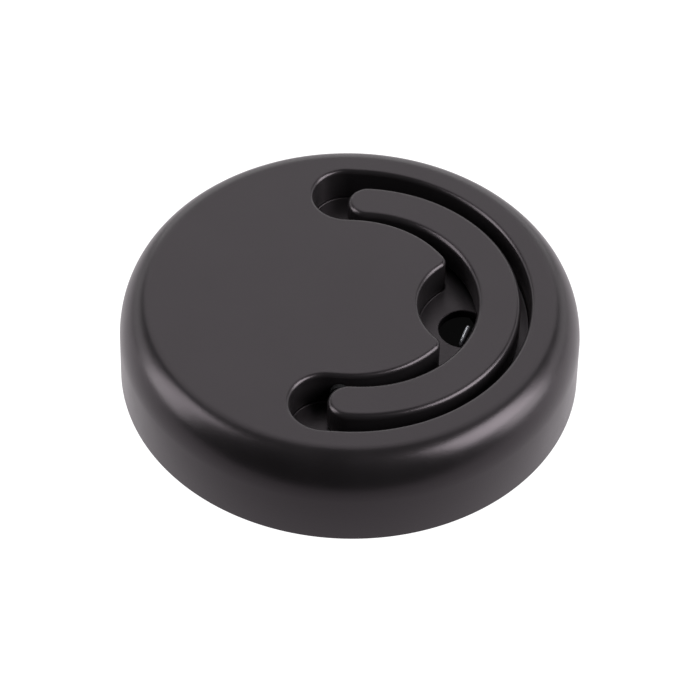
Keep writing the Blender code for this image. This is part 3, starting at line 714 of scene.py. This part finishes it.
wire_radius = 0.55 * MM
wire_bend = 1.3 * MM
wire_gap = 0.3 * MM
hole_gap = 0.45 * MM
eye_turn = 290
bend_steps, tip_steps, smallest_share = 12, 6, 0.02
eye_radius = screw_radius + wire_gap + wire_radius
wire_level = floor_foot - wire_gap - wire_radius
eye = Vector((*clip_screw, wire_level))
foot_x, foot_y = polar(hole_radius - wire_radius - hole_gap, -95)
foot = Vector((hole_x + foot_x, foot_y, wire_level))
gap = foot - eye
leg = degrees(atan2(gap.y, gap.x) - acos(eye_radius / gap.length))
round_eye = arc(clip_screw, eye_radius, leg - eye_turn, leg, 40)
points = [Vector((x, y, wire_level)) for x, y in round_eye]
knee = Vector((foot.x, foot.y, floor_top + 0.1 * MM))
tip = Vector((hole_x + 1.0 * MM, -1.4 * MM, floor_top + 2.45 * MM))
corners = [points[-1], foot, knee, tip]
for before, corner, after in zip(corners, corners[1:], corners[2:]):
    into = (corner - before).normalized()
    out = (after - corner).normalized()
    turn = into.angle(out)
    start = corner - into * wire_bend * sin(turn / 2) / cos(turn / 2)
    normal = (out - into * into.dot(out)).normalized()
    for i in range(bend_steps + 1):
        a = turn * i / bend_steps
        points.append(start + normal * wire_bend * (1 - cos(a)) + into * wire_bend * sin(a))
along = (tip - points[-1]).normalized()
shoulder_of_tip = tip - along * wire_radius
radii = [1.0] * (len(points) + 1)
points.append(shoulder_of_tip)
for i in range(1, tip_steps + 1):
    a = pi / 2 * i / tip_steps
    points.append(shoulder_of_tip + along * wire_radius * sin(a))
    radii.append(max(cos(a), smallest_share))
wire = bpy.data.curves.new("wire_path", "CURVE")
wire.dimensions = "3D"
wire.bevel_depth = wire_radius
wire.bevel_resolution = 6
wire.use_fill_caps = True
run = wire.splines.new("POLY")
run.points.add(len(points) - 1)
for spot, place, radius in zip(run.points, points, radii):
    spot.co = (*place, 1)
    spot.radius = radius
wire_object = bpy.data.objects.new("wire_path", wire)
bpy.context.scene.collection.objects.link(wire_object)
graph = bpy.context.evaluated_depsgraph_get()
bm = bmesh.new()
bm.from_mesh(wire_object.evaluated_get(graph).to_mesh())
bpy.data.objects.remove(wire_object)
bmesh.ops.remove_doubles(bm, verts=bm.verts, dist=merge_distance)
bmesh.ops.recalc_face_normals(bm, faces=bm.faces)
add_piece("clip_wire", bm, spring_steel.material, "cap", "spring_steel", "lead_clip")


# ---- Pull handle ----------------------------------------------------------------------------
# A C-shaped bar moulded in the cover's plastic. It lies just under the top's surface, with its
# upper edge rounded for the finger, and its two heels turn on the pins.

bar_outside = handle_high.y
bar_inside = bar_outside - bar_width
bar_x = handle_high.x - bar_outside
bar_edge = 1.3 * MM
bar_foot_edge = 1.2 * MM
face_margin = 0.2 * MM
pin_end_gap = 0.3 * MM


def bar_outline(grow=0.0):
    """The handle in plan: a half ring with round ends."""
    half = arc((bar_x, 0), bar_outside + grow, 0, 90, 80)[1:]
    half += arc((bar_x, (bar_outside + bar_inside) / 2), bar_width / 2 + grow, 90, 270, 40)[1:]
    half += arc((bar_x, 0), bar_inside - grow, 90, 0, 70)[1:]
    return [(bar_x + bar_outside + grow, 0.0)] + half + [(x, -y) for x, y in reversed(half[:-1])]


bm = bmesh.new()
sides = [(-bar_edge - face_margin, handle_high.z)]
for out, down in arc((-bar_edge, -bar_edge), bar_edge, 90, 0, 12):
    sides.append((out, handle_high.z + down))
sides.append((0.0, handle_low.z + bar_foot_edge + face_margin))
for out, up in arc((-bar_foot_edge, bar_foot_edge), bar_foot_edge, 0, -90, 6):
    sides.append((out, handle_low.z + up))
sides.append((-bar_foot_edge - face_margin, handle_low.z))
bar_top, bar_foot = skirted(bm, [(height, bar_outline(grow)) for grow, height in sides])
flat(bm, bar_top)
flat(bm, bar_foot)
bmesh.ops.recalc_face_normals(bm, faces=bm.faces)
handle = add_piece(
    "pull_bar", bm, satin_plastic.material, "handle", "satin_black_plastic", "pull_handle"
)
pin_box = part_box("hinge_pin_back")
pin_tip = pin_box[1].y
reshape(
    handle,
    "DIFFERENCE",
    [
        on_hinge(plug(pin_radius + pin_fit, slot_inside, pin_tip + pin_end_gap), side)
        for side in (-1, 1)
    ],
)


# ---- Hinge pins and spacers -----------------------------------------------------------------
# A headed steel pin goes out through each side of the island into the handle's heel. A thin nylon
# washer on it keeps the heel off the island's wall.

nylon = Finish("washer_nylon", (0.012, 0.012, 0.013), 0.7, specular=0.12)
nylon.vary_roughness(nylon.noise(1.5 * MM), 0.62, 0.78)
nylon.bump(nylon.noise(0.15 * MM, 2.0), 0.004 * MM)

pin_head = pin_box[0].y
pin_head_radius, pin_head_height = 1.9 * MM, 1.2 * MM
pin_soft, head_soft, washer_soft = 0.3 * MM, 0.1 * MM, 0.12 * MM
pin_section = (
    [(0, pin_head)]
    + arc((pin_head_radius - pin_soft, pin_head + pin_soft), pin_soft, 270, 360, 5)
    + [(pin_head_radius, pin_head + pin_head_height - head_soft)]
    + [(pin_head_radius - head_soft, pin_head + pin_head_height)]
    + [(pin_radius, pin_head + pin_head_height), (pin_radius, pin_tip - pin_soft)]
    + arc((pin_radius - pin_soft, pin_tip - pin_soft), pin_soft, 0, 90, 5)
    + [(0, pin_tip)]
)
washer_low, washer_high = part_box("hinge_spacer_back")
washer_section = rounded(
    [
        (pin_radius + pin_fit, washer_low.y),
        (washer_high.z - pin_z, washer_low.y),
        (washer_high.z - pin_z, washer_high.y),
        (pin_radius + pin_fit, washer_high.y),
    ],
    washer_soft,
    3,
)
for label, side in (("front", -1), ("back", 1)):
    pin = on_hinge(turned(pin_section, 48, closed=False), side)
    add_piece(
        f"headed_pin_{label}", pin, dark_steel.material, "cap", "blackened_steel", f"hinge_pin_{label}"
    )
    washer = on_hinge(turned(washer_section, 48), side)
    add_piece(
        f"heel_washer_{label}", washer, nylon.material, "cap", "black_nylon", f"hinge_spacer_{label}"
    )


# ---- Floor and light ------------------------------------------------------------------------
# A plain white table, lit from within like a light table, with a painted shade under the base,
# where its glow is turned down. Soft lights at the right, the left and behind give the rim its
# long highlights.

# Painted shade: inside this band round the middle the table's glow fades down, leaving it dark under
# the base.
shade_start, shade_end = passage_radius + 4.0 * MM, passage_radius + 6.0 * MM
painted_shade_glow = 0.003
table_radius = 6.0
glow_radius, glow_front, glow_height = 500 * MM, 84 * MM, 0.1 * MM
glow_dim, glow_bright, glow_dim_at, glow_bright_at = 0.52, 1.02, -75 * MM, 5 * MM


def glow_outside_painted_shade(finish, colour, inside):
    """Gives a finish an emission colour, and its strength as painted shade: one value inside, 1
    outside.
    """
    finish.shader.inputs["Emission Color"].default_value = (*colour, 1)
    reach = finish.nodes.new("ShaderNodeVectorMath")
    reach.operation = "LENGTH"
    finish.links.new(finish.place, reach.inputs[0])
    return finish.spread(reach.outputs["Value"], inside, 1.0, shade_start, shade_end)


def stage_disc(name, finish, radius, centre):
    bm = bmesh.new()
    bmesh.ops.create_circle(bm, cap_ends=True, segments=128, radius=radius)
    bmesh.ops.translate(bm, verts=bm.verts, vec=centre)
    mesh = bpy.data.meshes.new(name)
    bm.to_mesh(mesh)
    bm.free()
    mesh.materials.append(finish.material)
    disc = bpy.data.objects.new(name, mesh)
    bpy.context.scene.collection.objects.link(disc)
    return disc


table_white = Finish("table_white", (0.2, 0.2, 0.2), 0.9, specular=0.0)
# The table glows far less under the base: painted shade.
strength = glow_outside_painted_shade(table_white, (1, 1, 1), painted_shade_glow)
table_white.links.new(strength, table_white.shader.inputs["Emission Strength"])
table = stage_disc("table", table_white, table_radius, (0, 0, 0))
table.visible_glossy = table.visible_diffuse = False

# The plastic mirrors only this disc of the lit table, which is dimmer towards the front and ends a
# little way in front of the part.
table_glow = Finish("table_glow", (0, 0, 0), 1.0, specular=0.0)
# This disc is dark under the base too: painted shade, seen in reflections.
glow_beyond_painted_shade = glow_outside_painted_shade(table_glow, (1, 0.95, 0.985), 0)
axes = table_glow.nodes.new("ShaderNodeSeparateXYZ")
table_glow.links.new(table_glow.place, axes.inputs["Vector"])
along_y = table_glow.spread(axes.outputs["Y"], glow_dim, glow_bright, glow_dim_at, glow_bright_at)
glow = table_glow.nodes.new("ShaderNodeMath")
glow.operation = "MULTIPLY"
table_glow.links.new(glow_beyond_painted_shade, glow.inputs[0])
table_glow.links.new(along_y, glow.inputs[1])
table_glow.links.new(glow.outputs["Value"], table_glow.shader.inputs["Emission Strength"])
glow_centre = (0, glow_radius - glow_front, glow_height)
glow_disc = stage_disc("table_glow", table_glow, glow_radius, glow_centre)
glow_disc.visible_camera = False

camera_azimuth, camera_elevation, camera_roll = radians(3.1), radians(46.47), radians(1.33)
light_distance = 2.0


def softbox(name, azimuth, elevation, width, height, radiance):
    """A white area light aimed at the cap. Its azimuth is from the camera's right, in degrees."""
    light = bpy.data.lights.new(name, "AREA")
    light.shape = "RECTANGLE"
    light.size, light.size_y = width, height
    light.energy = radiance * pi * width * height
    around = radians(azimuth) + camera_azimuth
    up = radians(elevation)
    towards = Vector((cos(around) * cos(up), sin(around) * cos(up), sin(up)))
    lamp = bpy.data.objects.new(name, light)
    lamp.matrix_world = (
        Matrix.Translation(towards * light_distance)
        @ towards.to_track_quat("Z", "Y").to_matrix().to_4x4()
    )
    bpy.context.scene.collection.objects.link(lamp)


softbox("right_softbox", -16, 37, 1.5, 1.15, 8.0)
softbox("right_low", -4, 12, 1.0, 0.8, 5.0)
softbox("left_softbox", 180, 38, 0.9, 1.1, 5.1)
softbox("left_low", 180, 12, 1.0, 0.8, 5.0)
softbox("right_back", 36, 15, 1.4, 0.9, 1.2)
softbox("left_back", 144, 15, 1.4, 0.9, 1.2)
softbox("back_low", 90, 15, 2.4, 0.9, 1.5)
softbox("back_panel", 90, 44, 2.2, 0.9, 1.2)
softbox("back_high", 90, 66, 2.0, 0.8, 1.0)

sky = bpy.data.worlds.new("studio")
sky.use_nodes = True
sky.node_tree.nodes["Background"].inputs["Color"].default_value = (1, 1, 1, 1)
sky.node_tree.nodes["Background"].inputs["Strength"].default_value = 0.015
bpy.context.scene.world = sky
bpy.context.scene.view_settings.view_transform = "Standard"

# ---- Camera ---------------------------------------------------------------------------------
# A long lens about sixty centimetres off, looking down at the cap. Its place is given as shares of
# the cap's radius, from the middle of the flat top.

right = Vector((cos(camera_azimuth), sin(camera_azimuth), 0))
back = Vector(
    (
        sin(camera_azimuth) * cos(camera_elevation),
        -cos(camera_azimuth) * cos(camera_elevation),
        sin(camera_elevation),
    )
)
up = back.cross(right)
across, below, away = 0.00244, 0.2359, 12.34
lens = bpy.data.cameras.new("camera")
lens.sensor_width = 36.0
lens.lens = 148.05
camera = bpy.data.objects.new("camera", lens)
radius = cap_high.x
spot = Vector((0, 0, cap_high.z)) + radius * (across * right - below * up + away * back)
turned_to = Matrix((right, up, back)).transposed()
camera.matrix_world = (
    Matrix.Translation(spot) @ turned_to.to_4x4() @ Matrix.Rotation(camera_roll, 4, "Z")
)
bpy.context.scene.collection.objects.link(camera)
bpy.context.scene.camera = camera
